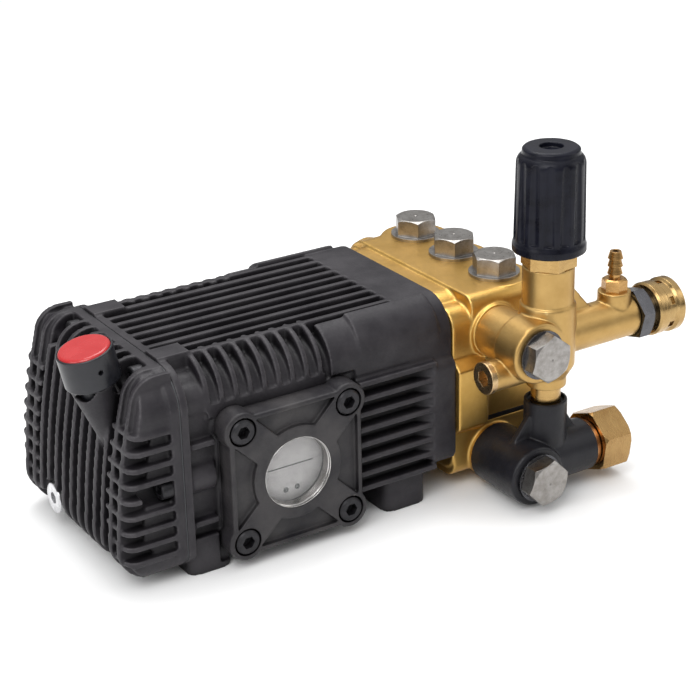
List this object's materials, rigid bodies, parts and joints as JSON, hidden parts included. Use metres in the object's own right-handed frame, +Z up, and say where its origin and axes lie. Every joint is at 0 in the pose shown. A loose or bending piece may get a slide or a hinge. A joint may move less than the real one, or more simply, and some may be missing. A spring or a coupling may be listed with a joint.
{
  "type": "pressure washer pump",
  "caption": "Direct-drive triplex plunger pump: finned crankcase, valve manifold, unloader with a fluted knob, quick coupler, inlet block with a hose nut.",
  "frame": {"origin": "on the crank axis, in the face that bolts to the engine (centre of the engine bolt circle)", "axes": "+X from the crank to the manifold, +Y out along the drive bore towards the engine, +Z up"},
  "size_m": [0.3293, 0.1906, 0.1906],
  "materials": {
    "housing": "satin cast, painted",
    "cover_housing": "satin cast, painted, edges worn",
    "gasket": "fibre gasket",
    "black_screw": "black oxide",
    "brass": "cast, satin",
    "turned_brass": "turned",
    "steel": "turned and milled",
    "dark_steel": "blackened",
    "zinc": "bright plated",
    "knob_plastic": "moulded, semi-gloss",
    "cap_plastic": "moulded",
    "red_plastic": "moulded",
    "inlet_coat": "satin coating",
    "glass": "clear",
    "reflector": "satin",
    "rubber": "matt",
    "packing": "impregnated fabric",
    "ceramic": "polished",
    "alloy": "die cast and machined",
    "bearing_steel": "ground",
    "forged_steel": "ground journals",
    "cage_plastic": "moulded"
  },
  "bodies": {
    "pump_body": {"crankcase": "housing", "rear_cover": "housing", "rear_cover_gasket": "gasket", "rear_cover_screws": "black_screw", "bearing_cover": "cover_housing", "bearing_cover_screws": "black_screw", "sight_glass_bezel": "zinc", "sight_glass": "glass", "sight_glass_reflector": "reflector", "o_rings": "rubber", "bearing_outer_rings": "bearing_steel", "shaft_oil_seal": "rubber", "plunger_oil_seals": "rubber", "drain_plug": "zinc", "sealing_washers": "dark_steel", "manifold": "brass", "manifold_bolts": "black_screw", "discharge_valve_plugs": "steel", "suction_valve_plugs": "steel", "gallery_plugs": "turned_brass", "high_pressure_packings": "packing", "packing_retainers": "turned_brass", "valve_seats": "steel", "valve_cages": "cage_plastic", "valve_springs": "steel", "unloader_body": "brass", "unloader_gland_nut": "turned_brass", "banjo_bolts": "steel", "bypass_tube": "turned_brass", "injector_barb": "turned_brass", "coupler_body": "dark_steel", "inlet_body": "inlet_coat", "hose_tailpiece": "turned_brass", "inlet_screen": "rubber", "unloader_spring": "steel"},
    "crankshaft": {"crankshaft": "forged_steel", "bearing_inner_rings": "bearing_steel"},
    "bearing_balls": {"bearing_balls": "bearing_steel"},
    "rod_1": {"connecting_rod_1": "alloy"},
    "plunger_1": {"plunger_guide_1": "alloy", "plunger_1": "ceramic"},
    "rod_2": {"connecting_rod_2": "alloy"},
    "plunger_2": {"plunger_guide_2": "alloy", "plunger_2": "ceramic"},
    "rod_3": {"connecting_rod_3": "alloy"},
    "plunger_3": {"plunger_guide_3": "alloy", "plunger_3": "ceramic"},
    "discharge_valve_1": {"discharge_valve_1": "steel"},
    "discharge_valve_2": {"discharge_valve_2": "steel"},
    "discharge_valve_3": {"discharge_valve_3": "steel"},
    "suction_valve_1": {"suction_valve_1": "steel"},
    "suction_valve_2": {"suction_valve_2": "steel"},
    "suction_valve_3": {"suction_valve_3": "steel"},
    "unloader_stem": {"unloader_stem": "steel"},
    "unloader_knob": {"unloader_knob": "knob_plastic"},
    "unloader_piston": {"unloader_piston": "turned_brass"},
    "coupler_sleeve": {"coupler_sleeve": "turned_brass"},
    "hose_swivel_nut": {"hose_swivel_nut": "turned_brass"},
    "oil_filler_cap": {"oil_filler_cap": "cap_plastic", "oil_cap_insert": "red_plastic"}
  },
  "joints": [
    {"name": "crank_turn", "type": "hinge", "parent": "pump_body", "child": "crankshaft", "pos_m": [0, -0.081, 0], "axis": [0, 1, 0], "continuous": true},
    {"name": "ball_roll", "type": "hinge", "parent": "pump_body", "child": "bearing_balls", "pos_m": [0, -0.081, 0], "axis": [0, 1, 0], "continuous": true},
    {"name": "rod_1_on_crank", "type": "hinge", "parent": "crankshaft", "child": "rod_1", "pos_m": [0, -0.0443, 0.0035], "axis": [0, 1, 0], "continuous": true},
    {"name": "plunger_1_stroke", "type": "slide", "parent": "pump_body", "child": "plunger_1", "axis": [1, 0, 0], "range_m": [-0.0035, 0.0035]},
    {"name": "rod_2_on_crank", "type": "hinge", "parent": "crankshaft", "child": "rod_2", "pos_m": [-0.00303, -0.081, -0.00175], "axis": [0, 1, 0], "continuous": true},
    {"name": "plunger_2_stroke", "type": "slide", "parent": "pump_body", "child": "plunger_2", "axis": [1, 0, 0], "range_m": [-0.00047, 0.00653]},
    {"name": "rod_3_on_crank", "type": "hinge", "parent": "crankshaft", "child": "rod_3", "pos_m": [0.00303, -0.1177, -0.00175], "axis": [0, 1, 0], "continuous": true},
    {"name": "plunger_3_stroke", "type": "slide", "parent": "pump_body", "child": "plunger_3", "axis": [1, 0, 0], "range_m": [-0.00653, 0.00047]},
    {"name": "discharge_valve_1_lift", "type": "slide", "parent": "pump_body", "child": "discharge_valve_1", "axis": [0, 0, 1], "range_m": [0, 0.0015], "stiffness_N_per_m": 300, "springref_m": -0.003},
    {"name": "discharge_valve_2_lift", "type": "slide", "parent": "pump_body", "child": "discharge_valve_2", "axis": [0, 0, 1], "range_m": [0, 0.0015], "stiffness_N_per_m": 300, "springref_m": -0.003},
    {"name": "discharge_valve_3_lift", "type": "slide", "parent": "pump_body", "child": "discharge_valve_3", "axis": [0, 0, 1], "range_m": [0, 0.0015], "stiffness_N_per_m": 300, "springref_m": -0.003},
    {"name": "suction_valve_1_lift", "type": "slide", "parent": "pump_body", "child": "suction_valve_1", "axis": [1, 0, 0], "range_m": [0, 0.0015], "stiffness_N_per_m": 300, "springref_m": -0.003},
    {"name": "suction_valve_2_lift", "type": "slide", "parent": "pump_body", "child": "suction_valve_2", "axis": [1, 0, 0], "range_m": [0, 0.0015], "stiffness_N_per_m": 300, "springref_m": -0.003},
    {"name": "suction_valve_3_lift", "type": "slide", "parent": "pump_body", "child": "suction_valve_3", "axis": [1, 0, 0], "range_m": [0, 0.0015], "stiffness_N_per_m": 300, "springref_m": -0.003},
    {"name": "unloader_stem_travel", "type": "slide", "parent": "pump_body", "child": "unloader_stem", "axis": [0, 0, 1], "range_m": [0, 0.006], "deforming": ["unloader_spring"]},
    {"name": "unloader_knob_turn", "type": "hinge", "parent": "unloader_stem", "child": "unloader_knob", "pos_m": [0.1414, -0.1656, 0.1], "axis": [0, 0, 1], "range_deg": [0, 1440]},
    {"name": "unloader_piston_lift", "type": "slide", "parent": "pump_body", "child": "unloader_piston", "axis": [0, 0, 1], "range_m": [0, 0.002], "stiffness_N_per_m": 3000, "springref_m": -0.003, "deforming": ["unloader_spring"]},
    {"name": "coupler_sleeve_pull", "type": "slide", "parent": "pump_body", "child": "coupler_sleeve", "axis": [-1, 0, 0], "range_m": [0, 0.0028], "stiffness_N_per_m": 600, "springref_m": -0.004},
    {"name": "hose_nut_spin", "type": "hinge", "parent": "pump_body", "child": "hose_swivel_nut", "pos_m": [0.18, -0.1656, -0.025], "axis": [1, 0, 0], "continuous": true},
    {"name": "oil_cap_lift", "type": "slide", "parent": "pump_body", "child": "oil_filler_cap", "axis": [-0.2079, 0, 0.9781], "range_m": [0, 0.09]}
  ],
  "couplings": [
    {"joint": "ball_roll", "follows": "crank_turn", "ratio": 0.41959},
    {"joint": "rod_1_on_crank", "follows": "crank_turn", "ratio": -1},
    {"joint": "rod_2_on_crank", "follows": "crank_turn", "ratio": -1},
    {"joint": "rod_3_on_crank", "follows": "crank_turn", "ratio": -1},
    {"joint": "unloader_knob_turn", "follows": "unloader_stem_travel", "rad_per_m": 4188.7}
  ]
}
